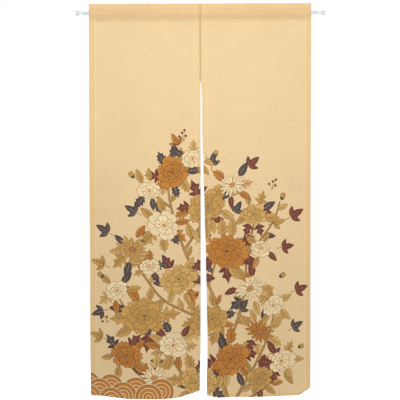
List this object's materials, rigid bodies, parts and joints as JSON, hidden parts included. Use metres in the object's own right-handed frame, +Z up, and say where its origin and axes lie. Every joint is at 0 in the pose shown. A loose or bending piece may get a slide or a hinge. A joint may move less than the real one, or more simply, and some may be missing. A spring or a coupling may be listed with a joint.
{
  "type": "noren curtain with tension rod",
  "caption": "Two-panel split doorway curtain in plain cloth, hung by its casing from a slim tension rod, with the hung folds and rolled corners of the real thing.",
  "frame": {"origin": "centre of the flat wall face of the rod's left end cap", "axes": "+X along the rod to its right end, +Y to the back of the curtain, +Z up; the printed front faces -Y"},
  "size_m": [0.95, 0.0571, 1.5109],
  "materials": {
    "left_panel": "plain weave, matt",
    "right_panel": "plain weave, matt",
    "outer_tube": "satin white",
    "inner_tube": "satin white",
    "left_cap": "moulded",
    "right_cap": "moulded"
  },
  "bodies": {
    "root": {"left_panel": "left_panel", "right_panel": "right_panel", "outer_tube": "outer_tube", "inner_tube": "inner_tube", "left_cap": "left_cap", "right_cap": "right_cap"}
  },
  "joints": []
}
